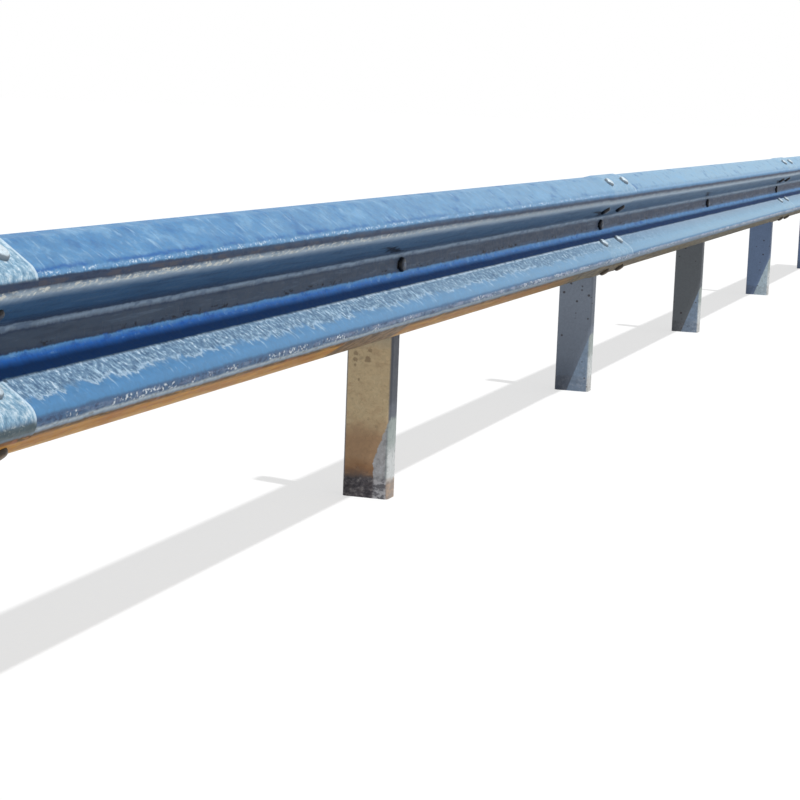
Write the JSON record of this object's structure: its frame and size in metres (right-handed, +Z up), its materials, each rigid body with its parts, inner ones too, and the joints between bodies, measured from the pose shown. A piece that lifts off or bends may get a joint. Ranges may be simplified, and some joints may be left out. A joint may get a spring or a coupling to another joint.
{
  "type": "highway guardrail section",
  "caption": "Two-wave steel road guardrail in lapped lengths, bolted directly to cold-formed C posts, shown from ground level up.",
  "frame": {"origin": "cut foot of the middle post at ground level, in the middle of its web's thickness", "axes": "+X along the barrier in the direction of travel, -Y towards the road, +Z up"},
  "size_m": [12.318, 0.1962, 0.6928],
  "materials": {
    "rail_zinc": "hot-dip galvanised, weathered and scuffed",
    "post_zinc": "hot-dip galvanised, dull, splashed with soil"
  },
  "bodies": {
    "root": {"rail_1": "rail_zinc", "rail_2": "rail_zinc", "rail_3": "rail_zinc", "rail_4": "rail_zinc", "post_1": "post_zinc", "post_2": "post_zinc", "post_3": "post_zinc", "post_4": "post_zinc", "post_5": "post_zinc", "post_6": "post_zinc", "post_7": "post_zinc"}
  },
  "joints": []
}
